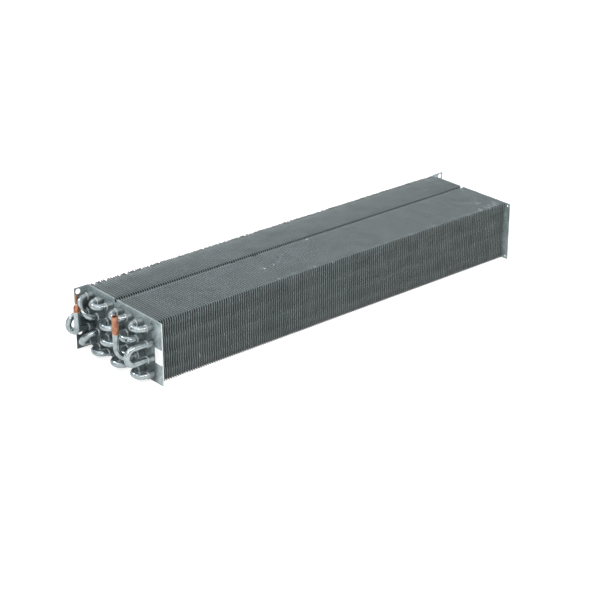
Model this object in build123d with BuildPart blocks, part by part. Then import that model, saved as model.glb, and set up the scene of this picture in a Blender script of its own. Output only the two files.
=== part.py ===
from build123d import *
import os

# Fin-and-tube evaporator coil with return bends and copper stubs at its left end.
# X runs along the tubes, Y from the front of the fin pack to its back, Z up.
# The origin is below the middle of the whole object, at the level it rests on.

# Tubes: 3/8 in aluminium tube on a 1 in square pattern, 4 rows high and 7 columns deep
tube_od = 9.525
tube_wall = 0.9
tube_pitch = 25.4
row_count = 4
column_count = 7
front_bank_columns = 4

# Fins: plain sheet in two banks, one behind the other
fin_thickness = 0.2
fin_pitch = 4.28
fin_count = 171
bank_gap = 5.6
fin_lift = 0.3

# Fin sheet past the centres of the outermost tubes, on each side of a bank
top_margin = 12.7
bottom_margin = 12.7
front_margin = 12.7
front_bank_back_margin = 11.3
back_bank_front_margin = 8.5
back_margin = 12.1

# End plates: folded from sheet, with a flange at the back that turns away from the fins
plate_thickness = 1.2
plate_to_fin = 2.5
front_lip = 11.9
flange_width = 25.0
fold_radius = 1.0
plate_hole_clearance = 0.45
notch_width = 6.9
notch_depth = 6.2
notch_corner = 1.5

# Bolt holes in the flanges and small holes in the far front lip
bolt_hole_d = 8.6
bolt_hole_from_edge = 6.8
bolt_hole_below_top = 6.6
bolt_hole_spacing = 68.0
lip_hole_d = 3.3
lip_hole_from_edge = 6.0
lip_hole_inset = 5.0

# Belled tube ends and the return bends that sit in them
bell_reach = 10.5
bell_behind_face = 1.9
bell_cone = 1.4
bell_clearance = 0.08
flare_length = 1.2
flare_rise = 0.45
socket_depth = 8.0
bend_leg = 11.7
long_bend_leg = 33.0
hairpin_leg = 3.0

# Suction stub: rises from the shoulder of the outlet bend
suction_overlap = 6.0
suction_straight = 4.1
suction_radius = 24.4
suction_joint_below_top = 19.6

# Liquid stub: comes down in front of the inlet bend and turns into its lower leg
liquid_past_turn = 7.5
liquid_forward = 16.9
liquid_radius = 11.2
liquid_joint_below_top = 24.4
branch_gap = 0.05
branch_rim = 0.3

# Copper ends: each has a spigot that is brazed into the aluminium tube below it
copper_wall = 0.8
spigot_clearance = 0.06
spigot_depth = 8.0
suction_copper_d = 10.0
suction_copper_length = 14.8
suction_bulge_d = 11.0
suction_bulge_rise = 5.0
suction_bulge_length = 5.5
suction_bulge_taper = 3.0
reducer_d = 9.5
reducer_length = 6.0
reducer_shoulder = 5.6
neck_seat = 2.4
capillary_d = 3.4
capillary_wall = 0.6
capillary_clearance = 0.05
capillary_swage = 0.25
capillary_depth = 5.0
capillary_length = 16.5

# Sizes that follow from those above
tube_r = tube_od / 2
bore_r = tube_r - tube_wall
bell_bore_r = tube_r + bell_clearance
bell_r = bell_bore_r + tube_wall
bend_r = tube_pitch / 2
fin_height = top_margin + (row_count - 1) * tube_pitch + bottom_margin
front_bank_span = (front_bank_columns - 1) * tube_pitch
back_bank_span = (column_count - front_bank_columns - 1) * tube_pitch
front_bank_depth = front_margin + front_bank_span + front_bank_back_margin
back_bank_depth = back_bank_front_margin + back_bank_span + back_margin
suction_joint_z = fin_height - suction_joint_below_top
liquid_joint_z = fin_height - liquid_joint_below_top
suction_standoff = bend_leg + suction_overlap + suction_straight + suction_radius
liquid_standoff = long_bend_leg + liquid_past_turn
pack_depth = front_bank_depth + bank_gap + back_bank_depth
fin_run = (fin_count - 1) * fin_pitch + fin_thickness
plates_apart = fin_run + 2 * plate_to_fin
over_plates = plates_apart + 2 * plate_thickness

# Reach past the plates, and from it the place of the origin
suction_reach = suction_standoff + max(suction_bulge_d, tube_od) / 2
long_bend_reach = long_bend_leg + bend_r + tube_r
left_reach = max(suction_reach, long_bend_reach, flange_width)
right_reach = max(hairpin_leg + bend_r + tube_r, flange_width)
left_face = -(left_reach + over_plates + right_reach) / 2 + left_reach
right_face = left_face + over_plates
front_face = -(front_lip + pack_depth) / 2 + front_lip
back_face = front_face + pack_depth
first_fin = left_face + plate_thickness + plate_to_fin


def column_y(column):
    """Depth of a tube column, counted from 1 at the front; each bank carries its own tubes."""
    if column <= front_bank_columns:
        return front_face + front_margin + (column - 1) * tube_pitch
    return back_face - back_margin - (column_count - column) * tube_pitch


def row_z(row):
    """Height of a tube row, counted from 1 at the top."""
    return fin_height - top_margin - (row - 1) * tube_pitch


def save(solid, name):
    """Name one finished piece and write it to its own file."""
    solid.label = name
    export_step(solid, "parts/" + name + ".step")


os.makedirs("parts", exist_ok=True)
tube_places = [
    (column_y(column), row_z(row))
    for column in range(1, column_count + 1)
    for row in range(1, row_count + 1)
]


# Fin banks: every fin is one plate of its own, set square to the tubes


def fin_bank(name, near_y, depth):
    """One bank of fins, each a separate thin plate."""
    fin_planes = [
        Plane.YZ.offset(first_fin + number * fin_pitch) for number in range(fin_count)
    ]
    with BuildPart() as bank:
        with BuildSketch(*fin_planes):
            with Locations((near_y + depth / 2, (fin_height + fin_lift) / 2)):
                Rectangle(depth, fin_height - fin_lift)
        extrude(amount=fin_thickness)
    save(bank.part, name)


fin_bank("front_fin_bank", front_face, front_bank_depth)
fin_bank("back_fin_bank", back_face - back_bank_depth, back_bank_depth)


# End plates: a web in front of the fins' ends and a flange folded outwards at the back


def end_plate(name, outer_face, outward, hole_r, lip_holes):
    """One folded end plate; outward is -1 at the left end and 1 at the right."""
    middle = outer_face - outward * plate_thickness / 2
    flange_end = outer_face + outward * flange_width
    notch_y = front_face + front_bank_depth + bank_gap / 2
    bolt_x = flange_end - outward * bolt_hole_from_edge
    bolt_z = fin_height - bolt_hole_below_top
    with BuildPart() as plate:
        with BuildSketch():
            with BuildLine():
                FilletPolyline(
                    (middle, front_face - front_lip),
                    (middle, back_face - plate_thickness / 2),
                    (flange_end, back_face - plate_thickness / 2),
                    radius=fold_radius + plate_thickness / 2,
                )
            trace(line_width=plate_thickness)
        extrude(amount=fin_height)
        # Tube holes
        with BuildSketch(Plane.YZ.offset(middle)):
            with Locations(*tube_places):
                Circle(hole_r + plate_hole_clearance)
        extrude(amount=plate_thickness, both=True, mode=Mode.SUBTRACT)
        # Notch between the banks, open at the top edge
        with BuildSketch(Plane.YZ.offset(middle)) as notch:
            with Locations((notch_y, fin_height)):
                Rectangle(notch_width, 2 * notch_depth)
            fillet(notch.vertices(), notch_corner)
        extrude(amount=plate_thickness, both=True, mode=Mode.SUBTRACT)
        # Bolt holes in the flange
        with BuildSketch(Plane.XZ.offset(-back_face)):
            with Locations((bolt_x, bolt_z), (bolt_x, bolt_z - bolt_hole_spacing)):
                Circle(bolt_hole_d / 2)
        extrude(amount=2 * plate_thickness, mode=Mode.SUBTRACT)
        if lip_holes:
            lip_y = front_face - front_lip + lip_hole_from_edge
            with BuildSketch(Plane.YZ.offset(middle)):
                with Locations((lip_y, lip_hole_inset), (lip_y, fin_height - lip_hole_inset)):
                    Circle(lip_hole_d / 2)
            extrude(amount=plate_thickness, both=True, mode=Mode.SUBTRACT)
    save(plate.part, name)


end_plate("left_end_plate", left_face, -1, bell_r, False)
end_plate("right_end_plate", right_face, 1, tube_r, True)


# Hairpins: one tube bent double at the right end, its two left ends belled


def hairpin(name, column, upper_row):
    """A hairpin that joins two rows of one column."""
    y = column_y(column)
    upper_z = row_z(upper_row)
    lower_z = row_z(upper_row + 1)
    cone_x = left_face + bell_behind_face
    leg_x = cone_x + bell_cone
    turn_x = right_face + hairpin_leg
    mouth_x = left_face - bell_reach
    with BuildPart() as tube:
        with BuildLine() as route:
            upper = Line((leg_x, y, upper_z), (turn_x, y, upper_z))
            turn = ThreePointArc(
                upper @ 1,
                (turn_x + bend_r, y, (upper_z + lower_z) / 2),
                (turn_x, y, lower_z),
            )
            Line(turn @ 1, (leg_x, y, lower_z))
        with BuildSketch(Plane(origin=upper @ 0, z_dir=upper % 0)):
            Circle(tube_r)
            Circle(bore_r, mode=Mode.SUBTRACT)
        sweep()
        # The belled end is turned about each leg's own axis
        for z in (upper_z, lower_z):
            leg_axis = Axis((0, y, z), (1, 0, 0))
            with BuildSketch(Plane((0, y, z), x_dir=(1, 0, 0), z_dir=(0, -1, 0))):
                with BuildLine():
                    Polyline(
                        (leg_x, bore_r),
                        (leg_x, tube_r),
                        (cone_x, bell_r),
                        (mouth_x + flare_length, bell_r),
                        (mouth_x, bell_r + flare_rise),
                        (mouth_x, bell_bore_r + flare_rise),
                        (mouth_x + flare_length, bell_bore_r),
                        (cone_x, bell_bore_r),
                        close=True,
                    )
                make_face()
            revolve(axis=leg_axis)
    save(tube.part, name)


for column in range(1, column_count + 1):
    for upper_row in range(1, row_count, 2):
        hairpin(f"hairpin_{column}_row_{upper_row}", column, upper_row)


# Return bends: short U tubes brazed into the belled ends

inlet_places = ((7, 2), (7, 3))
outlet_places = ((3, 3), (2, 3))
plain_places = [
    ((7, 1), (6, 2)),
    ((6, 1), (5, 1)),
    ((4, 1), (3, 1)),
    ((2, 1), (1, 1)),
    ((5, 2), (4, 2)),
    ((3, 2), (2, 2)),
    ((5, 3), (4, 3)),
    ((6, 3), (7, 4)),
    ((6, 4), (5, 4)),
    ((4, 4), (3, 4)),
    ((2, 4), (1, 4)),
]


def bend_tube(places, leg, outer_r, inner_r=0):
    """A U tube from one belled end to another, each place a column and a row."""
    (first_y, first_z), (last_y, last_z) = [
        (column_y(column), row_z(row)) for column, row in places
    ]
    half_span = ((first_y - last_y) ** 2 + (first_z - last_z) ** 2) ** 0.5 / 2
    root_x = left_face - bell_reach + socket_depth
    turn_x = left_face - leg
    with BuildPart() as tube:
        with BuildLine():
            outward = Line((root_x, first_y, first_z), (turn_x, first_y, first_z))
            turn = ThreePointArc(
                outward @ 1,
                (turn_x - half_span, (first_y + last_y) / 2, (first_z + last_z) / 2),
                (turn_x, last_y, last_z),
            )
            Line(turn @ 1, (root_x, last_y, last_z))
        with BuildSketch(Plane(origin=outward @ 0, z_dir=outward % 0)):
            Circle(outer_r)
            if inner_r:
                Circle(inner_r, mode=Mode.SUBTRACT)
        sweep()
    return tube.part


for places in plain_places:
    (column, row), (to_column, to_row) = places
    name = f"return_bend_{column}_{row}_to_{to_column}_{to_row}"
    save(bend_tube(places, bend_leg, tube_r, bore_r), name)
save(bend_tube(((1, 2), (1, 3)), long_bend_leg, tube_r, bore_r), "long_return_bend")


# Suction side: the outlet bend has a branch at its shoulder, in line with its front leg

outlet_y = column_y(outlet_places[1][0])
outlet_z = row_z(outlet_places[1][1])
outlet_turn_x = left_face - bend_leg
suction_x = left_face - suction_standoff

with BuildPart() as outlet_bend:
    add(bend_tube(outlet_places, bend_leg, tube_r, bore_r))
    with BuildSketch(Plane.YZ.offset(outlet_turn_x)):
        with Locations((outlet_y, outlet_z)):
            Circle(bore_r - branch_rim)
    extrude(amount=-(tube_pitch + tube_od), mode=Mode.SUBTRACT)
save(outlet_bend.part, "outlet_bend")

with BuildPart() as suction_stub:
    with BuildLine() as suction_route:
        FilletPolyline(
            (suction_x, outlet_y, suction_joint_z),
            (suction_x, outlet_y, outlet_z),
            (outlet_turn_x - suction_overlap, outlet_y, outlet_z),
            radius=suction_radius,
        )
    with BuildSketch(Plane.XY.offset(suction_joint_z)):
        with Locations((suction_x, outlet_y)):
            Circle(tube_r)
            Circle(bore_r, mode=Mode.SUBTRACT)
    sweep()
    add(bend_tube(outlet_places, bend_leg, tube_r + branch_gap), mode=Mode.SUBTRACT)
save(suction_stub.part, "suction_stub")

spigot_r = bore_r - spigot_clearance
spigot_bore_r = spigot_r - copper_wall
suction_copper_r = suction_copper_d / 2
bulge_low_z = suction_joint_z + suction_bulge_rise
bulge_high_z = bulge_low_z + suction_bulge_length
straight_z = bulge_high_z + suction_bulge_taper
with BuildPart() as suction_copper:
    with BuildSketch(Plane((suction_x, outlet_y, 0), x_dir=(1, 0, 0), z_dir=(0, -1, 0))):
        with BuildLine():
            Polyline(
                (spigot_bore_r, suction_joint_z - spigot_depth),
                (spigot_r, suction_joint_z - spigot_depth),
                (spigot_r, suction_joint_z),
                (tube_r, suction_joint_z),
                (suction_bulge_d / 2, bulge_low_z),
                (suction_bulge_d / 2, bulge_high_z),
                (suction_copper_r, straight_z),
                (suction_copper_r, straight_z + suction_copper_length),
                (suction_copper_r - copper_wall, straight_z + suction_copper_length),
                (suction_copper_r - copper_wall, bulge_low_z),
                (spigot_bore_r, suction_joint_z),
                close=True,
            )
        make_face()
    revolve(axis=Axis((suction_x, outlet_y, 0), (0, 0, 1)))
save(suction_copper.part, "suction_copper_end")


# Liquid side: the inlet bend is the long one at the back, with a branch in its lower leg

inlet_y = column_y(inlet_places[1][0])
liquid_x = left_face - liquid_standoff
liquid_y = inlet_y - liquid_forward
branch_z = row_z(inlet_places[1][1]) + bend_r - (bend_r**2 - liquid_past_turn**2) ** 0.5

with BuildPart() as inlet_bend:
    add(bend_tube(inlet_places, long_bend_leg, tube_r, bore_r))
    with BuildSketch(Plane.XZ.offset(-inlet_y)):
        with Locations((liquid_x, branch_z)):
            Circle(bore_r - branch_rim)
    extrude(amount=tube_od, mode=Mode.SUBTRACT)
save(inlet_bend.part, "inlet_bend")

with BuildPart() as liquid_stub:
    with BuildLine() as liquid_route:
        FilletPolyline(
            (liquid_x, liquid_y, liquid_joint_z),
            (liquid_x, liquid_y, branch_z),
            (liquid_x, inlet_y, branch_z),
            radius=liquid_radius,
        )
    with BuildSketch(Plane.XY.offset(liquid_joint_z)):
        with Locations((liquid_x, liquid_y)):
            Circle(tube_r)
            Circle(bore_r, mode=Mode.SUBTRACT)
    sweep()
    add(bend_tube(inlet_places, long_bend_leg, tube_r + branch_gap), mode=Mode.SUBTRACT)
save(liquid_stub.part, "liquid_stub")

reducer_r = reducer_d / 2
capillary_r = capillary_d / 2
capillary_end_r = capillary_r - capillary_swage
neck_bore_r = capillary_end_r + capillary_clearance
shoulder_z = liquid_joint_z + reducer_length
neck_z = shoulder_z + reducer_shoulder
liquid_plane = Plane((liquid_x, liquid_y, 0), x_dir=(1, 0, 0), z_dir=(0, -1, 0))
with BuildPart() as reducer:
    with BuildSketch(liquid_plane):
        with BuildLine():
            Polyline(
                (spigot_bore_r, liquid_joint_z),
                (spigot_bore_r, liquid_joint_z - spigot_depth),
                (spigot_r, liquid_joint_z - spigot_depth),
                (spigot_r, liquid_joint_z),
                (reducer_r, liquid_joint_z),
                (reducer_r, shoulder_z),
            )
            shoulder = TangentArc(
                (reducer_r, shoulder_z),
                (capillary_r + copper_wall, neck_z),
                tangent=(0, 1),
            )
            Polyline(
                shoulder @ 1,
                (neck_bore_r, neck_z),
                (neck_bore_r, neck_z - neck_seat),
                (reducer_r - copper_wall, shoulder_z),
                (spigot_bore_r, liquid_joint_z),
            )
        make_face()
    revolve(axis=Axis((liquid_x, liquid_y, 0), (0, 0, 1)))
save(reducer.part, "liquid_reducer")

# The capillary stops at the neck, and its end is swaged to slip into it
with BuildPart() as capillary:
    for foot_z, length, outer_r in (
        (neck_z - capillary_depth, capillary_depth, capillary_end_r),
        (neck_z, capillary_length, capillary_r),
    ):
        with BuildSketch(Plane.XY.offset(foot_z)):
            with Locations((liquid_x, liquid_y)):
                Circle(outer_r)
                Circle(capillary_r - capillary_wall, mode=Mode.SUBTRACT)
        extrude(amount=length)
save(capillary.part, "liquid_capillary")
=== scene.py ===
import math

import bpy
import numpy as np
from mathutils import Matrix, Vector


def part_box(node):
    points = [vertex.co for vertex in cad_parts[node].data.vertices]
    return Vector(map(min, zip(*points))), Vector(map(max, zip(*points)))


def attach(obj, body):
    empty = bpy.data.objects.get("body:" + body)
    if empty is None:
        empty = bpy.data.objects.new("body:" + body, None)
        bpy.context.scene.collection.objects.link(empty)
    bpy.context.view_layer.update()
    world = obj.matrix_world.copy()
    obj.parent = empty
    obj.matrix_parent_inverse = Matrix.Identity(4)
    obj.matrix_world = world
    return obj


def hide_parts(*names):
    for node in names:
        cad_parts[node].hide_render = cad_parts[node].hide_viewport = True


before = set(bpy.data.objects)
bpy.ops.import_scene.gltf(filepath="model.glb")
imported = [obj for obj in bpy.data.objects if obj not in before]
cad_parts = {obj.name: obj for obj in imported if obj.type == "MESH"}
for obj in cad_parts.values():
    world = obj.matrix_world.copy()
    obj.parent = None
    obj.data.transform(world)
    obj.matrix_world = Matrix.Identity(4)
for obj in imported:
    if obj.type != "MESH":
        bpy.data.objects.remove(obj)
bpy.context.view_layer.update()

mm = 0.001

# Fin banks: two rows of plain aluminium fins, punched from thin strip and threaded on the
# tubes, which are then expanded to grip them. The free edges wander a little, and some have
# been knocked and bent over by handling.

fin_pitch = 4.28 * mm
fin_count = 171
fin_thickness = 0.2 * mm
tube_pitch = 25.4 * mm
plate_face_to_fins = 3.7 * mm
left_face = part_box("front_fin_bank")[0][0] - plate_face_to_fins
front_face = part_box("front_fin_bank")[0][1]


def linear(hex_colour):
    """An sRGB hex colour as linear RGBA."""
    channels = [int(hex_colour[digit:digit + 2], 16) / 255 for digit in (1, 3, 5)]
    return tuple(c / 12.92 if c <= 0.04045 else ((c + 0.055) / 1.055) ** 2.4 for c in channels) + (1.0,)


def add_node(tree, kind, settings=(), links=()):
    """Adds one node. Stops fill its colour ramp, other settings that start with a small
    letter are properties of the node, and the rest are its inputs."""
    node = tree.nodes.new(kind)
    for name, value in dict(settings).items():
        if name == "stops":
            elements = node.color_ramp.elements
            for number, (position, colour) in enumerate(value):
                stop = elements[number] if number < 2 else elements.new(position)
                stop.position = position
                stop.color = linear(colour)
        elif isinstance(name, str) and name[0].islower():
            setattr(node, name, value)
        else:
            node.inputs[name].default_value = value
    for name, source in dict(links).items():
        tree.links.new(source, node.inputs[name])
    return node


def new_material(name, settings):
    """A material with one Principled shader, with its tree and that shader to add to."""
    material = bpy.data.materials.new(name)
    material.use_nodes = True
    tree = material.node_tree
    tree.nodes.clear()
    shader = add_node(tree, "ShaderNodeBsdfPrincipled", settings)
    add_node(tree, "ShaderNodeOutputMaterial", (), {"Surface": shader.outputs[0]})
    return material, tree, shader


def from_corner(tree, place):
    """Distances past the left plate's outer face, behind the fins' front and above the base."""
    axes = add_node(tree, "ShaderNodeSeparateXYZ", (), {"Vector": place.outputs["Object"]})
    past_plate, behind_front = (
        add_node(tree, "ShaderNodeMath", {"operation": "SUBTRACT", 1: face}, {0: axes.outputs[axis]})
        for axis, face in (("X", left_face), ("Y", front_face))
    )
    return past_plate.outputs[0], behind_front.outputs[0], axes.outputs["Z"]


def greys_along(tree, distance, stops):
    """Greys along a distance, from pairs of a place in millimetres and a hex colour."""
    first, last = stops[0][0], stops[-1][0]
    share = add_node(
        tree, "ShaderNodeMapRange", {"From Min": first * mm, "From Max": last * mm}, {"Value": distance},
    )
    positions = [((position - first) / (last - first), grey) for position, grey in stops]
    ramp = add_node(tree, "ShaderNodeValToRGB", {"stops": positions}, {"Fac": share.outputs["Result"]})
    return ramp.outputs["Color"]


# Mill-finish aluminium fin stock: rolled bright, then dulled by drawing oil and handling.
# The eye sees a cool grey that changes a little from fin to fin. The edges are paler, partly bare metal
# and partly a painted highlight, and painted shade lies deeper in.
fin_stock, tree, shader = new_material(
    "mill_finish_aluminium_fin_stock", {"Metallic": 1.0, "Roughness": 0.55},
)
place = add_node(tree, "ShaderNodeTexCoord")
# One step of this pattern along the coil is one fin, so neighbours differ; on a fin it is 60 mm
per_fin = add_node(
    tree, "ShaderNodeMapping",
    {"Scale": (1 / fin_pitch, 1 / (60 * mm), 1 / (60 * mm))}, {"Vector": place.outputs["Object"]},
)
fin_change = add_node(
    tree, "ShaderNodeTexNoise", {"Scale": 1.0, "Detail": 2.0}, {"Vector": per_fin.outputs[0]},
)
fin_colour = add_node(
    tree, "ShaderNodeValToRGB",
    {"stops": ((0.3, "#b0b9bb"), (0.7, "#c1c9cb"))}, {"Fac": fin_change.outputs["Fac"]},
)
past_plate, behind_front, above_base = from_corner(tree, place)
# The front and top edges and those along the slot are bright for about two millimetres: partly bare
# metal, partly a painted highlight, and along the slot painted light over its shade
front_and_slot_highlight = greys_along(
    tree, behind_front,
    (
        (0, "#c4c4c4"), (2.2, "#888888"), (3, "#000000"), (97.6, "#000000"), (98.6, "#ffffff"),
        (107.4, "#ffffff"), (108, "#000000"),
    ),
)
top_edge_highlight = greys_along(
    tree, above_base, ((90, "#000000"), (99.3, "#000000"), (99.9, "#c0c0c0"), (101.6, "#ffffff")),
)
# The top's painted highlight fades towards the right end, painted shade that evens the light along the
# coil
top_highlight_fade = greys_along(tree, past_plate, ((0, "#ffffff"), (250, "#ffffff"), (735, "#dcdcdc")))
faded_top_highlight = add_node(tree, "ShaderNodeMath", {"operation": "MULTIPLY"}, {0: top_edge_highlight, 1: top_highlight_fade})
fin_edge_highlight = add_node(
    tree, "ShaderNodeMath", {"operation": "MAXIMUM"}, {0: front_and_slot_highlight, 1: faded_top_highlight.outputs[0]},
)
highlighted_fin_colour = add_node(
    tree, "ShaderNodeMix", {"data_type": "RGBA", 7: linear("#e5edee")},
    {0: fin_edge_highlight.outputs[0], 6: fin_colour.outputs["Color"]},
)
# Painted shade darkens the fins behind those edges, deep in the gaps between them, most of all just under
# the top
shade_behind_edges = greys_along(
    tree, behind_front,
    (
        (0, "#000000"), (2.4, "#000000"), (3.2, "#ffffff"), (96, "#ffffff"), (98, "#000000"),
        (107, "#000000"), (108, "#ffffff"),
    ),
)
shade_under_top = greys_along(
    tree, above_base,
    (
        (0, "#a8a8a8"), (70, "#a8a8a8"), (90, "#ffffff"), (98.4, "#ffffff"), (98.8, "#bcbcbc"),
        (99.5, "#000000"),
    ),
)
gap_shade = add_node(tree, "ShaderNodeMath", {"operation": "MULTIPLY"}, {0: shade_behind_edges, 1: shade_under_top})
gap_shaded_colour = add_node(
    tree, "ShaderNodeMix", {"data_type": "RGBA", 7: linear("#6b7071")},
    {0: gap_shade.outputs[0], 6: highlighted_fin_colour.outputs[2]},
)
# Painted shade also darkens the fins along the back, at the foot and a little towards the right end
shaded_fin_colour = gap_shaded_colour.outputs[2]
for distance, stops in (
    (behind_front, ((168, "#ffffff"), (177.2, "#727272"))),
    (above_base, ((0, "#cccccc"), (5, "#e6e6e6"), (12, "#ffffff"))),
    (past_plate, ((0, "#ffffff"), (300, "#fdfdfd"), (735, "#f8f8f8"))),
):
    mixed = add_node(
        tree, "ShaderNodeMix", {"data_type": "RGBA", "blend_type": "MULTIPLY", 0: 1.0},
        {6: shaded_fin_colour, 7: greys_along(tree, distance, stops)},
    )
    shaded_fin_colour = mixed.outputs[2]
tree.links.new(shaded_fin_colour, shader.inputs["Base Color"])
# Smears of drawing oil, some 25 mm across
oil = add_node(
    tree, "ShaderNodeTexNoise",
    {"Scale": 1 / (25 * mm), "Detail": 3.0}, {"Vector": place.outputs["Object"]},
)
dulling = add_node(
    tree, "ShaderNodeMapRange",
    {"From Min": 0.3, "From Max": 0.7, "To Min": 0.55, "To Max": 0.63}, {"Value": oil.outputs["Fac"]},
)
tree.links.new(dulling.outputs["Result"], shader.inputs["Roughness"])

# How far each edge of a fin wanders sideways, in millimetres, and how far in that reaches
edge_wander = {"front": 0.03, "back": 0.2, "bottom": 0.15, "top": 0.04}
edge_reach = 6 * mm
# Lengths over which those slow waves turn by one radian: along the coil, up a fin, across it
wave_along = 16 * mm
wave_up = 11 * mm
wave_across = 14 * mm
# Each fin's own lean at its front and top, and the reach of a bent upper back tip
fin_lean = 0.025
tip_forward = 3.5 * mm
tip_down = 9 * mm
# The sheet stands out sideways just above each row of tubes: how far at the left end, how much
# of that is lost with each metre, and the height of the lowest crest
left_dish = 0.42
dish_loss = 0.3
dish_crest = 16 * mm
# The first fins have been knocked about most, where the coil is lifted
lifting_wear = 2
lifting_reach = 30 * mm
# A knock bends the sheet about this deep, and ends this many of its reaches along the coil
knock_depth = 2.5 * mm
knock_end = 1.8
# The furthest lean, in millimetres, which keeps a fin clear of its neighbours
lean_limit = 0.46 * fin_pitch / mm

# Knocks on the fins, as seen, in millimetres: place along the coil, from the front and above
# the base, then reach along the coil and along the edge, then sideways push and press inwards
fin_top = 101.6
knocks = (
    (220, 98, fin_top, 4, 2.6, 1.6, 4.0),
    (226, 91, fin_top, 4, 2.0, 2.6, 1.0),
    (264, 98, fin_top, 5, 3.0, 1.6, 6.0),
    (243, 50, fin_top, 5, 1.8, 2.2, 1.2),
    (255, 50, fin_top, 5, 2.0, 1.9, 1.6),
    (267, 55, fin_top, 6, 2.2, 1.9, 1.8),
    (281, 58, fin_top, 3, 2.0, 2.2, 1.8),
    (290, 69, fin_top, 6, 2.2, 2.6, 1.4),
    (299, 74, fin_top, 4, 1.6, 2.0, 1.0),
    (337, 40, fin_top, 3, 1.8, 1.4, 1.4),
    (233, 6, fin_top, 14, 2.4, 1.0, 0.8),
    (294, 12, fin_top, 10, 2.4, 1.3, 0.8),
    (306, 5, fin_top, 9, 2.4, 1.2, 0.8),
    (231, 150, fin_top, 4, 6.0, 1.6, 0.9),
    (58, 20, fin_top, 3, 6.0, 1.0, 0.5),
    (12, 107, fin_top, 9, 3.0, 2.0, 1.6),
    (341, 2, fin_top, 4, 2.4, 2.8, 2.4),
    (622, 0, 86, 5, 4.0, 1.0, 1.2),
    (631, 0, 74, 4, 3.0, 0.9, 1.0),
    (655, 4, fin_top, 16, 5.0, 0.8, 0.6),
    (682, 6, fin_top, 14, 6.0, 1.1, 0.9),
    (704, 6, fin_top, 14, 7.0, 1.0, 0.8),
    (720, 8, fin_top, 10, 9.0, 1.3, 1.0),
    (697, 27, fin_top, 8, 2.4, 1.0, 0.6),
    (217, 177, fin_top, 6, 5.0, 2.4, 2.0),
    (371, 100, fin_top, 4, 3.0, 1.8, 1.2),
    (455, 177, fin_top, 16, 5.0, 2.0, 1.8),
    (725, 175, fin_top, 20, 5.0, 2.4, 2.2),
    (722, 88, fin_top, 3, 2.4, 1.2, 0.8),
    (52, 0, 3, 4, 3.0, 1.8, 2.6),
    (58, 0, 18, 4, 2.6, 2.2, 1.4),
    (77, 0, 23, 4, 3.0, 1.6, 1.0),
    (78, 0, 8, 4, 2.6, 1.6, 1.2),
)


def wander(seed, u, v):
    """A smooth sum of waves over u and v that repeats nowhere near, from about -1 to 1."""
    draw = np.random.RandomState(seed)
    waves = 9
    directions = draw.uniform(0, 2 * math.pi, waves)
    sizes = draw.uniform(0.6, 1.6, waves)
    phases = draw.uniform(0, 2 * math.pi, waves)
    total = sum(
        np.cos(size * (u * math.cos(direction) + v * math.sin(direction)) + phase)
        for direction, size, phase in zip(directions, sizes, phases)
    )
    return total / math.sqrt(waves)


def plate_faces(first, rows, columns):
    """Faces of a closed plate whose two sides are grids of corners, numbered from first."""
    def corner(side, row, column):
        return first + side * rows * columns + row * columns + column

    faces = []
    for row in range(rows - 1):
        for column in range(columns - 1):
            cell = ((row, column), (row, column + 1), (row + 1, column + 1), (row + 1, column))
            faces.append([corner(0, *spot) for spot in cell])
            faces.append([corner(1, *spot) for spot in reversed(cell)])
    border = (
        [(row, 0) for row in range(rows)]
        + [(rows - 1, column) for column in range(1, columns)]
        + [(row, columns - 1) for row in range(rows - 2, -1, -1)]
        + [(0, column) for column in range(columns - 2, 0, -1)]
    )
    for here, following in zip(border, border[1:] + border[:1]):
        faces.append([corner(0, *here), corner(0, *following), corner(1, *following), corner(1, *here)])
    return faces


def mesh_object(name, vertices, faces, material):
    """An object in the scene with a mesh of one material."""
    mesh = bpy.data.meshes.new(name)
    mesh.from_pydata(vertices, [], faces)
    mesh.materials.append(material)
    made = bpy.data.objects.new(name, mesh)
    bpy.context.scene.collection.objects.link(made)
    return made


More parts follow.
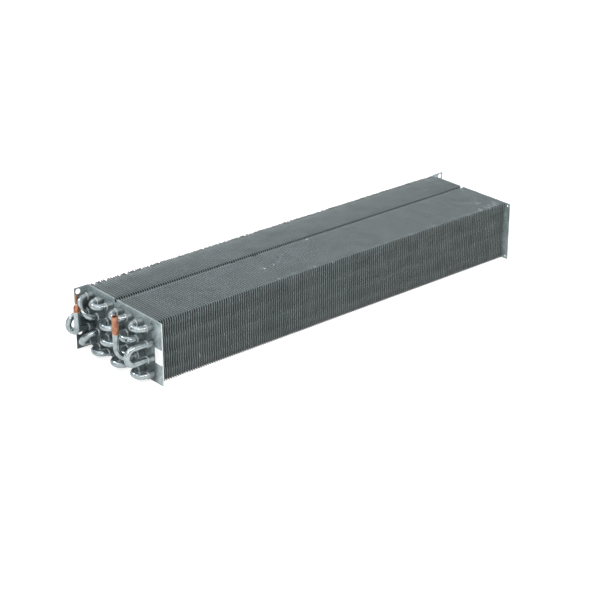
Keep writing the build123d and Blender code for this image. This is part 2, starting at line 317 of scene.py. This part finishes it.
def fin_bank(name, node, depth_lines, height_lines, seed, tip_lean):
    """All fins of one bank as one mesh: each a thin closed plate with wandering edges."""
    low, high = (np.array(corner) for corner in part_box(node))
    depth_steps = low[1] + (high[1] - low[1]) * np.array(depth_lines) / depth_lines[-1]
    height_steps = low[2] + (high[2] - low[2]) * np.array(height_lines) / height_lines[-1]
    vertices = []
    faces = []
    jitter = np.random.RandomState(seed)
    for number in range(fin_count):
        middle = low[0] + fin_thickness / 2 + number * fin_pitch
        along = middle - left_face
        # A knock in reach gets lines of its own, close enough for a smooth hollow
        depths = set(depth_steps)
        heights = set(height_steps)
        for knock_along, behind, above, reach, spread, push, press in knocks:
            in_reach = abs(knock_along * mm - along) < knock_end * reach * mm
            if in_reach and low[1] - mm < front_face + behind * mm < high[1] + mm:
                if above == fin_top:
                    steps = (-1.5, -0.75, 0, 0.75, 1.5)
                    depths |= {front_face + (behind + spread * step) * mm for step in steps}
                else:
                    steps = (-0.9, -0.3, 0.3, 0.9)
                    heights |= {(above + spread * step) * mm for step in steps}
        depths = np.array(sorted(y for y in depths if low[1] <= y <= high[1]))
        heights = np.array(sorted(z for z in heights if low[2] <= z <= high[2]))
        y, z = np.meshgrid(depths, heights, indexing="ij")
        inside = {"top": high[2] - z, "bottom": z - low[2], "front": y - low[1], "back": high[1] - y}
        near = {edge: np.exp(-distance / edge_reach) for edge, distance in inside.items()}
        u = along / wave_along
        dish = (left_dish - dish_loss * along) * np.cos(2 * math.pi * (z - dish_crest) / tube_pitch)
        lean = (
            dish * (near["front"] + near["back"])
            + edge_wander["front"] * near["front"] * wander(seed, u, z / wave_up)
            + edge_wander["back"] * near["back"] * wander(seed + 2, u, z / wave_up)
            + edge_wander["bottom"] * near["bottom"] * wander(seed + 3, u, y / wave_across)
            + fin_lean * jitter.normal() * (near["front"] + near["top"])
            + tip_lean * jitter.normal()
            * np.exp(-inside["back"] / tip_forward) * np.exp(-inside["top"] / tip_down)
        )
        lean = lean * (1 + lifting_wear * math.exp(-along / lifting_reach))
        lean = lean + edge_wander["top"] * near["top"] * wander(seed + 1, u, y / wave_across)
        sink = 0 * lean
        draw_in = 0 * lean
        for knock_along, behind, above, reach, spread, push, press in knocks:
            from_middle = (along / mm - knock_along) / reach
            if abs(from_middle) > knock_end:
                continue
            # Each fin takes its own share of the knock, a little to one side or the other
            turn = jitter.uniform(-1, 1)
            shift = 0.8 * spread * jitter.uniform(-1, 1)
            if above == fin_top:
                edge = (y - front_face) / mm - behind - shift
                depth = inside["top"]
            else:
                edge = z / mm - above - shift
                depth = inside["front"]
            strength = np.exp(-from_middle**2 - (edge / spread) ** 2) * np.exp(-depth / knock_depth)
            pressed = press * strength * (0.6 + 0.4 * turn)
            if above == fin_top:
                sink = sink + pressed
            else:
                draw_in = draw_in + pressed
            lean = lean + push * strength * (0.35 + 0.65 * turn)
        lean = np.clip(lean, -lean_limit, lean_limit) * mm
        faces += plate_faces(len(vertices), *y.shape)
        for side in (-0.5, 0.5):
            points = np.stack(
                [middle + lean + side * fin_thickness, y + draw_in * mm, z - sink * mm], axis=-1
            )
            vertices.extend(map(tuple, points.reshape(-1, 3)))
    bank = mesh_object(name, vertices, faces, fin_stock)
    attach(bank, "root")
    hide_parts(node)


# Lines up and across the fins, in millimetres, closest near the free edges
height_lines = (0, 4, 9, 17, 26, 34, 43, 51, 59, 68, 76, 84, 90, 95, 98, 100, 101.3)
front_lines = (0, 1.5, 4, 8, 13, 22, 36, 50, 64, 78, 88, 95, 100.2)
back_lines = (0, 4, 9, 17, 26, 36, 46, 55, 62, 67, 70, 71.4)
# Only the back bank's upper back tips are bent, by about 0.9 mm either way
fin_bank("front_fins", "front_fin_bank", front_lines, height_lines, 11, 0)
fin_bank("back_fins", "back_fin_bank", back_lines, height_lines, 31, 0.9)


# End plates: folded from smooth zinc-coated steel sheet and slipped over the tubes.
# The zinc has weathered to a soft cool grey, clouded and finely speckled, with bare cut edges. Shade is
# painted among the sockets, and a highlight along the cut edges.

galvanised_sheet, tree, shader = new_material("smooth_galvanised_steel_sheet", {})
place = add_node(tree, "ShaderNodeTexCoord")
# Clouds of white rust, some 20 mm across
clouds = add_node(
    tree, "ShaderNodeTexNoise",
    {"Scale": 1 / (20 * mm), "Detail": 2.0}, {"Vector": place.outputs["Object"]},
)
# Fine zinc spangle, 3 mm across
spangle = add_node(
    tree, "ShaderNodeTexNoise", {"Scale": 1 / (3 * mm), "Detail": 4.0, "Roughness": 0.7},
    {"Vector": place.outputs["Object"]},
)
mottle = add_node(
    tree, "ShaderNodeMix", {"data_type": "FLOAT", 0: 0.55},
    {2: clouds.outputs["Fac"], 3: spangle.outputs["Fac"]},
)
zinc_colour = add_node(
    tree, "ShaderNodeValToRGB",
    {"stops": ((0.38, "#92a2a7"), (0.6, "#cddadc"))}, {"Fac": mottle.outputs[0]},
)
# Shade is painted in clouds on the left plate among the sockets, fading towards its top and front lip
past_plate, behind_front, above_base = from_corner(tree, place)
on_left_plate = greys_along(tree, past_plate, ((0, "#ffffff"), (2, "#000000")))
socket_shade = clouds.outputs["Fac"]
for share in (
    on_left_plate,
    greys_along(tree, behind_front, ((-2, "#a0a0a0"), (9, "#ffffff"))),
    greys_along(tree, above_base, ((0, "#ffffff"), (78, "#ffffff"), (92, "#bcbcbc"), (101, "#bcbcbc"))),
):
    fading = add_node(tree, "ShaderNodeMath", {"operation": "MULTIPLY"}, {0: socket_shade, 1: share})
    socket_shade = fading.outputs[0]
socket_shade_cover = add_node(
    tree, "ShaderNodeMapRange", {"From Min": 0.1, "From Max": 0.55, "To Max": 0.85}, {"Value": socket_shade},
)
# Paler streaks, about 3 mm wide, run down towards the back of the left plate
slanted = add_node(
    tree, "ShaderNodeMapping",
    {"vector_type": "TEXTURE", "Rotation": (math.radians(-50), 0, 0), "Scale": (1, 30 * mm, 3 * mm)},
    {"Vector": place.outputs["Object"]},
)
streak_noise = add_node(
    tree, "ShaderNodeTexNoise", {"Scale": 1.0, "Detail": 1.0}, {"Vector": slanted.outputs[0]},
)
streaks = add_node(
    tree, "ShaderNodeMapRange",
    {"From Min": 0.55, "From Max": 0.68, "To Max": 0.5}, {"Value": streak_noise.outputs["Fac"]},
)
left_streaks = add_node(
    tree, "ShaderNodeMath", {"operation": "MULTIPLY"}, {0: streaks.outputs["Result"], 1: on_left_plate},
)
streaked_colour = add_node(
    tree, "ShaderNodeMix", {"data_type": "RGBA", 7: linear("#f0f5f6")},
    {0: left_streaks.outputs[0], 6: zinc_colour.outputs["Color"]},
)
socket_shaded_colour = add_node(
    tree, "ShaderNodeMix", {"data_type": "RGBA", 7: linear("#4d5456")},
    {0: socket_shade_cover.outputs["Result"], 6: streaked_colour.outputs[2]},
)
# The sheared edges are bare metal; a painted highlight along them stands for the light they catch
lip_edge_highlight = greys_along(tree, behind_front, ((-12, "#ffffff"), (-11.5, "#ffffff"), (-10.9, "#000000")))
plate_top_highlight = greys_along(tree, above_base, ((100.8, "#000000"), (101.3, "#8c8c8c"), (101.6, "#8c8c8c")))
plate_edge_highlight = add_node(tree, "ShaderNodeMath", {"operation": "MAXIMUM"}, {0: lip_edge_highlight, 1: plate_top_highlight})
plate_colour = add_node(
    tree, "ShaderNodeMix", {"data_type": "RGBA", 7: linear("#eef3f4")},
    {0: plate_edge_highlight.outputs[0], 6: socket_shaded_colour.outputs[2]},
)
tree.links.new(plate_colour.outputs[2], shader.inputs["Base Color"])
# The right plate has gone whiter and duller than the left
whitening = add_node(
    tree, "ShaderNodeMapRange",
    {"From Min": 0.3, "From Max": 0.7, "To Min": 0.75, "To Max": 0.62}, {"Value": past_plate},
)
tree.links.new(whitening.outputs["Result"], shader.inputs["Metallic"])
zinc_gloss = add_node(
    tree, "ShaderNodeMapRange",
    {"From Min": 0.35, "From Max": 0.65, "To Min": 0.38, "To Max": 0.52}, {"Value": mottle.outputs[0]},
)
tree.links.new(zinc_gloss.outputs["Result"], shader.inputs["Roughness"])

for node in ("left_end_plate", "right_end_plate"):
    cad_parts[node].material_slots[0].material = galvanised_sheet


# Label: a plain white paper sticker with round corners, left blank. It is pressed on to the
# left plate's front lip. A faint glow on it is painted light.

label_front = front_face - 11.2 * mm
label_back = front_face + 6.5 * mm
label_bottom = 32.9 * mm
label_top = 57.9 * mm
corner = 1.2 * mm
glued_side = 0.01 * mm
outer_side = 0.16 * mm
label_paper, tree, shader = new_material(
    "white_label_paper",
    {
        "Base Color": linear("#fbfbfb"), "Roughness": 0.5,
        # The faint emission is painted light on the paper
        "Emission Color": linear("#f4f8ff"), "Emission Strength": 0.1,
    },
)
outline = []
for y, z, quarter in (
    (label_back - corner, label_top - corner, 0),
    (label_front + corner, label_top - corner, 90),
    (label_front + corner, label_bottom + corner, 180),
    (label_back - corner, label_bottom + corner, 270),
):
    for turn in (0, 30, 60, 90):
        angle = math.radians(quarter + turn)
        outline.append((y + corner * math.cos(angle), z + corner * math.sin(angle)))
count = len(outline)
rim = [(spot, spot + count, (spot + 1) % count + count, (spot + 1) % count) for spot in range(count)]
label = mesh_object(
    "blank_label",
    [(left_face - side, y, z) for side in (glued_side, outer_side) for y, z in outline],
    [tuple(range(count)), tuple(range(2 * count - 1, count - 1, -1)), *rim],
    label_paper,
)
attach(label, "root")


# Hairpin and return bends: soft aluminium tube, drawn, bent round a former and brazed.
# Drawing leaves a satin skin with narrow bright highlights, stained a little by the braze heat.

drawn_tube, tree, shader = new_material("drawn_aluminium_tube", {"Metallic": 0.92})
place = add_node(tree, "ShaderNodeTexCoord")
# Stains from the braze heat, about 10 mm across, over a fine grain of 2 mm
heat = add_node(
    tree, "ShaderNodeTexNoise",
    {"Scale": 1 / (10 * mm), "Detail": 2.0}, {"Vector": place.outputs["Object"]},
)
grain = add_node(
    tree, "ShaderNodeTexNoise",
    {"Scale": 1 / (2 * mm), "Detail": 3.0}, {"Vector": place.outputs["Object"]},
)
stains = add_node(
    tree, "ShaderNodeMix", {"data_type": "FLOAT", 0: 0.25},
    {2: heat.outputs["Fac"], 3: grain.outputs["Fac"]},
)
tube_colour = add_node(
    tree, "ShaderNodeValToRGB",
    {"stops": ((0.36, "#8e999c"), (0.62, "#b2bbbe"))}, {"Fac": stains.outputs[0]},
)
# The sockets and the last of each bend, next to the plate, are darker and duller
near_plate_share = add_node(
    tree, "ShaderNodeMapRange",
    {"From Min": -14 * mm, "From Max": -9 * mm}, {"Value": from_corner(tree, place)[0]},
)
near_plate_colour = add_node(
    tree, "ShaderNodeValToRGB",
    {"stops": ((0.36, "#6a7375"), (0.62, "#a6aeb0"))}, {"Fac": stains.outputs[0]},
)
dulled_colour = add_node(
    tree, "ShaderNodeMix", {"data_type": "RGBA"},
    {0: near_plate_share.outputs["Result"], 6: tube_colour.outputs["Color"], 7: near_plate_colour.outputs["Color"]},
)
tree.links.new(dulled_colour.outputs[2], shader.inputs["Base Color"])
tube_gloss = add_node(
    tree, "ShaderNodeMapRange",
    {"From Min": 0.35, "From Max": 0.65, "To Min": 0.12, "To Max": 0.2}, {"Value": stains.outputs[0]},
)
dulled_gloss = add_node(
    tree, "ShaderNodeMix", {"data_type": "FLOAT", 3: 0.45},
    {0: near_plate_share.outputs["Result"], 2: tube_gloss.outputs["Result"]},
)
tree.links.new(dulled_gloss.outputs[0], shader.inputs["Roughness"])

tube_names = ("hairpin", "return_bend", "long_return", "outlet", "inlet", "suction_stub", "liquid_stub")
for name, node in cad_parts.items():
    if name.startswith(tube_names):
        node.material_slots[0].material = drawn_tube


# Braze: a zinc-aluminium fillet runs round each socket's mouth and along both branches.
# It sets as a satin, slightly lumpy grey bead where the tubes meet.

tube_r = 4.7625 * mm
bend_r = tube_pitch / 2
first_tube = 12.7 * mm
column_depths = [front_face + first_tube + number * tube_pitch for number in range(7)]
row_heights = [first_tube + number * tube_pitch for number in range(4)]
mouth_x = left_face - 10.5 * mm
# Steps round a fillet, and sides of a bead's round section
ring_steps = 28
bead_sides = 8
braze, tree, shader = new_material("zinc_aluminium_braze", {"Metallic": 0.5, "Roughness": 0.38})
place = add_node(tree, "ShaderNodeTexCoord")
# Lumps about 1.5 mm across
lumps = add_node(
    tree, "ShaderNodeTexNoise",
    {"Scale": 1 / (1.5 * mm), "Detail": 2.0}, {"Vector": place.outputs["Object"]},
)
braze_colour = add_node(
    tree, "ShaderNodeValToRGB",
    {"stops": ((0.3, "#8f989a"), (0.7, "#b8bfc1"))}, {"Fac": lumps.outputs["Fac"]},
)
tree.links.new(braze_colour.outputs["Color"], shader.inputs["Base Color"])


def swept_ring(sections):
    """Vertices and faces of a closed ring from a loop of cross-sections of equal length."""
    points = [tuple(point) for section in sections for point in section]
    across = len(sections[0])
    faces = []
    for step in range(len(sections)):
        here = step * across
        following = (step + 1) % len(sections) * across
        for side in range(across):
            beside = (side + 1) % across
            faces.append((here + side, following + side, following + beside, here + beside))
    return points, faces


def turned_ring(centre, axis, profile, unevenness, seed):
    """A ring turned about an axis through centre, from a loop of (along, radius) points."""
    draw = np.random.RandomState(seed)
    lobes = [(draw.randint(2, 6), draw.uniform(0, 2 * math.pi)) for lobe in range(3)]
    sections = []
    for turn in np.linspace(0, 2 * math.pi, ring_steps, endpoint=False):
        swell = 1 + unevenness * sum(math.cos(lobe * turn + phase) for lobe, phase in lobes)
        section = []
        for along, radius in profile:
            point = np.array(centre, float)
            point[axis] += along * mm * swell
            point[(axis + 1) % 3] += radius * mm * math.cos(turn)
            point[(axis + 2) % 3] += radius * mm * math.sin(turn)
            section.append(point)
        sections.append(section)
    return swept_ring(sections)


def bead(path, radii):
    """A closed bead along a looped path, round in section and of changing thickness."""
    path = np.array(path)
    # A direction that no bead here follows, to set its sections square to the path
    askew = (0.3, 0.5, 0.8)
    sections = []
    for step, point in enumerate(path):
        along = path[(step + 1) % len(path)] - path[step - 1]
        side = np.cross(along, askew)
        side /= np.linalg.norm(side)
        other = np.cross(along, side)
        other /= np.linalg.norm(other)
        sections.append([
            point + radii[step] * (side * math.cos(turn) + other * math.sin(turn))
            for turn in np.linspace(0, 2 * math.pi, bead_sides, endpoint=False)
        ])
    return swept_ring(sections)


def add_piece(name, parts, material):
    """One object from several closed shapes, riding the whole coil."""
    vertices = []
    faces = []
    for points, corners in parts:
        faces += [tuple(len(vertices) + corner for corner in face) for face in corners]
        vertices += points
    piece = mesh_object(name, vertices, faces, material)
    piece.data.shade_smooth()
    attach(piece, "root")


# Section of a socket's fillet, in millimetres along the tube and from its middle
socket_profile = (
    (-1.5, 4.78), (-1.1, 4.95), (-0.6, 5.22), (-0.15, 5.62), (0.05, 6.0), (0.35, 5.3), (0.6, 4.8),
    (-0.5, 4.72),
)
lumpiness = 0.08
add_piece(
    "socket_braze",
    [
        turned_ring((mouth_x, y, z), 0, socket_profile, lumpiness, 7 * number + 3)
        for number, (y, z) in enumerate((y, z) for y in column_depths for z in row_heights)
    ],
    braze,
)

# The suction stub leaves the shoulder of its bend, so the fillet shows on its inner side only,
# thins towards both ends and closes out of sight inside the stub
outlet_y = column_depths[1]
shoulder_x = left_face - 11.7 * mm
suction_bead = 0.8 * mm
suction_path = []
suction_radii = []
for turn in np.radians(np.linspace(-88, 88, 23)):
    lean = math.cos(turn)
    suction_path.append((
        shoulder_x - 2 * math.sqrt(bend_r * tube_r * lean),
        outlet_y + tube_r * lean,
        row_heights[1] + tube_r * math.sin(turn),
    ))
    suction_radii.append(suction_bead * math.sqrt(lean))
suction_fillet = bead(suction_path, suction_radii)

# The liquid stub meets the long bend at the back from in front, in its lower turn
inlet_y = column_depths[6]
turn_x = left_face - 33 * mm
liquid_x = left_face - 40.5 * mm
liquid_bead = 0.7 * mm
branch_z = row_heights[1] + bend_r - math.sqrt(bend_r ** 2 - (turn_x - liquid_x) ** 2)
liquid_path = []
for turn in np.linspace(0, 2 * math.pi, 36, endpoint=False):
    x = liquid_x + tube_r * math.cos(turn)
    z = branch_z + tube_r * math.sin(turn)
    off_bend = math.hypot(x - turn_x, z - row_heights[1] - bend_r) - bend_r
    liquid_path.append((x, inlet_y - math.sqrt(max(0, tube_r ** 2 - off_bend ** 2)), z))
liquid_fillet = bead(liquid_path, [liquid_bead] * len(liquid_path))
add_piece("branch_braze", [suction_fillet, liquid_fillet], braze)


# Copper ends: drawn copper tube, brazed into the aluminium stubs for the pipe fitter.
# The copper is satin and pink-brown, with patches of darker tarnish from the torch's heat.

copper_tube, tree, shader = new_material("drawn_copper_tube", {"Metallic": 0.85, "Roughness": 0.42})
place = add_node(tree, "ShaderNodeTexCoord")
# Tarnish in patches about 7 mm across
tarnish = add_node(
    tree, "ShaderNodeTexNoise",
    {"Scale": 1 / (7 * mm), "Detail": 4.0}, {"Vector": place.outputs["Object"]},
)
copper_colour = add_node(
    tree, "ShaderNodeValToRGB",
    {"stops": ((0.3, "#8b5b46"), (0.7, "#c48f75"))}, {"Fac": tarnish.outputs["Fac"]},
)
tree.links.new(copper_colour.outputs["Color"], shader.inputs["Base Color"])

for name in ("suction_copper_end", "liquid_reducer", "liquid_capillary"):
    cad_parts[name].material_slots[0].material = copper_tube

# Silver braze, pale and warm, where the suction end, the reducer and the thin tube are joined
silver_braze, tree, shader = new_material(
    "silver_braze_alloy", {"Metallic": 1.0, "Roughness": 0.3, "Base Color": linear("#d9bfa6")},
)
suction_x = left_face - 46.2 * mm
liquid_y = inlet_y - 16.9 * mm
suction_end_z = 82.0 * mm
reducer_z = 77.2 * mm
thin_tube_z = 88.8 * mm
joints = (
    ((suction_x, outlet_y, suction_end_z), ((-0.5, 4.74), (0, 4.98), (0.5, 4.8), (0, 4.6))),
    ((liquid_x, liquid_y, reducer_z), ((-0.5, 4.74), (0, 4.98), (0.5, 4.74), (0, 4.6))),
    (
        (liquid_x, liquid_y, thin_tube_z),
        ((-0.5, 2.55), (0.2, 2.6), (1.0, 2.1), (1.7, 1.74), (0.5, 1.66), (-0.3, 1.9)),
    ),
)
add_piece(
    "copper_joint_braze",
    [
        turned_ring(centre, 2, profile, lumpiness, 40 + number)
        for number, (centre, profile) in enumerate(joints)
    ],
    silver_braze,
)


# Studio: a white floor that keeps the coil's soft shadow, in a pale tent lit evenly all round.
# A thin strip lamp in front draws the bright lines on the bends, a small one behind their spots.

floor_paper, tree, shader = new_material(
    "white_paper_floor",
    {"Roughness": 0.9, "Base Color": linear("#e0e0e0"), "Emission Color": linear("#ffffff")},
)


def shown(tree, share):
    """1 for what the camera sees, a share of it in mirrored and refracted light, else 0."""
    light = add_node(tree, "ShaderNodeLightPath")
    mirrored = add_node(
        tree, "ShaderNodeMath", {"operation": "MAXIMUM"},
        {0: light.outputs["Is Glossy Ray"], 1: light.outputs["Is Transmission Ray"]},
    )
    part = add_node(tree, "ShaderNodeMath", {"operation": "MULTIPLY", 1: share}, {0: mirrored.outputs[0]})
    seen = add_node(
        tree, "ShaderNodeMath", {"operation": "MAXIMUM"},
        {0: light.outputs["Is Camera Ray"], 1: part.outputs[0]},
    )
    return seen.outputs[0]


glow = add_node(tree, "ShaderNodeMath", {"operation": "MULTIPLY", 1: 0.7}, {0: shown(tree, 0.4)})
tree.links.new(glow.outputs[0], shader.inputs["Emission Strength"])

# The floor reaches 6 m each way, past all that the camera sees
floor = mesh_object(
    "floor", [(-6, -6, 0), (6, -6, 0), (6, 6, 0), (-6, 6, 0)], [(0, 1, 2, 3)], floor_paper,
)

world = bpy.data.worlds.new("studio")
bpy.context.scene.world = world
world.use_nodes = True
tree = world.node_tree
tree.nodes.clear()
# The tent's walls are a little less bright than the white behind the coil
brightness = add_node(
    tree, "ShaderNodeMapRange", {"To Min": 0.75, "To Max": 1.0}, {"Value": shown(tree, 0.1)},
)
background = add_node(
    tree, "ShaderNodeBackground",
    {"Color": linear("#ffffff")}, {"Strength": brightness.outputs["Result"]},
)
add_node(tree, "ShaderNodeOutputWorld", (), {"Surface": background.outputs[0]})

# Each lamp's two sides in metres, power in watts, colour, place and aim
lamps = (
    ("overhead_lamp", (1.7, 1.6), 9.5, "#deeffc", (-1.0, 0.3, 1.6), (-0.6, 0.2, 0)),
    ("back_left_lamp", (0.32, 0.32), 6.8, "#eff7ff", (-0.8, 1.3, 1.4), (-0.3, 0, 0.05)),
    ("front_lamp", (2.3, 0.1), 11.5, "#fff8ee", (-0.6, -1.15, 1.25), (-0.5, 0, 0.05)),
    ("left_lamp", (2.4, 2.4), 10.5, "#fff8ee", (-2.1, -1.0, 1.3), (-0.3, 0, 0.05)),
    ("back_lamp", (1.8, 0.25), 1.5, "#eef8ff", (1.1, 1.7, 1.1), (-0.3, 0, 0.05)),
)
for name, sides, power, colour, position, aim in lamps:
    light = bpy.data.lights.new(name, "AREA")
    light.shape = "RECTANGLE"
    light.size, light.size_y = sides
    light.energy = power
    light.color = linear(colour)[:3]
    lamp = bpy.data.objects.new(name, light)
    lamp.location = position
    direction = np.array(aim) - np.array(position)
    lamp.rotation_euler = (
        math.atan2(math.hypot(direction[0], direction[1]), -direction[2]), 0,
        math.atan2(direction[1], direction[0]) - math.pi / 2,
    )
    bpy.context.scene.collection.objects.link(lamp)


# Camera: a long lens at the photograph's place, left of and above the front corner.
# Its place and angles were solved from the straight edges of the plates and fins.

camera_data = bpy.data.cameras.new("camera")
camera_data.lens = 101.68
camera = bpy.data.objects.new("camera", camera_data)
camera.location = (left_face - 1.2879, front_face - 1.8200, 1.1438)
camera.rotation_euler = (math.radians(90 - 24.4191), 0, math.radians(-40.6318))
bpy.context.scene.collection.objects.link(camera)
bpy.context.scene.camera = camera
bpy.context.scene.view_settings.view_transform = "Standard"
